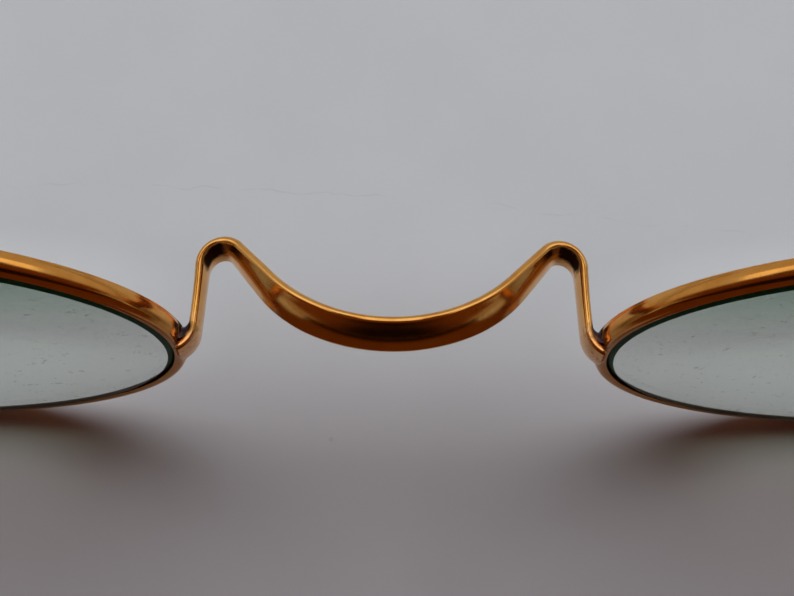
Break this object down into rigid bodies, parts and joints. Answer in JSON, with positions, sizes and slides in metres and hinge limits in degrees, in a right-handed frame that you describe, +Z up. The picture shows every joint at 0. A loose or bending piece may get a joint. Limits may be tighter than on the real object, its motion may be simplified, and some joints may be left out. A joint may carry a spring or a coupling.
{
  "type": "reading glasses",
  "caption": "Wire reading glasses with oval lenses, a W shaped saddle bridge and straight temples that fold on screwed hinges.",
  "frame": {"origin": "on the table, midway between the two lenses and midway between the front of the glasses and the ends of the temples", "axes": "+Z up, -Y out of the front of the glasses, +X towards the wearer's left"},
  "size_m": [0.1014, 0.112, 0.027],
  "materials": {
    "gold_fill": "polished gold-filled wire",
    "screw_metal": "worn, slightly darkened",
    "lens_glass": "clear, faint green edge"
  },
  "bodies": {
    "front": {"bridge": "gold_fill", "eyewire_left": "gold_fill", "lens_left": "lens_glass", "endpiece_upper_left": "gold_fill", "endpiece_lower_left": "gold_fill", "hinge_screw_left": "screw_metal", "eyewire_right": "gold_fill", "lens_right": "lens_glass", "endpiece_upper_right": "gold_fill", "endpiece_lower_right": "gold_fill", "hinge_screw_right": "screw_metal"},
    "left_temple": {"temple_joint_left": "gold_fill", "temple_left": "gold_fill"},
    "right_temple": {"temple_joint_right": "gold_fill", "temple_right": "gold_fill"}
  },
  "joints": [
    {"name": "left_temple_fold", "type": "hinge", "parent": "front", "child": "left_temple", "pos_m": [0.0494, -0.05193, 0.0135], "axis": [0, 0, 1], "range_deg": [0, 90]},
    {"name": "right_temple_fold", "type": "hinge", "parent": "front", "child": "right_temple", "pos_m": [-0.0494, -0.05193, 0.0135], "axis": [0, 0, -1], "range_deg": [0, 87.5]}
  ]
}
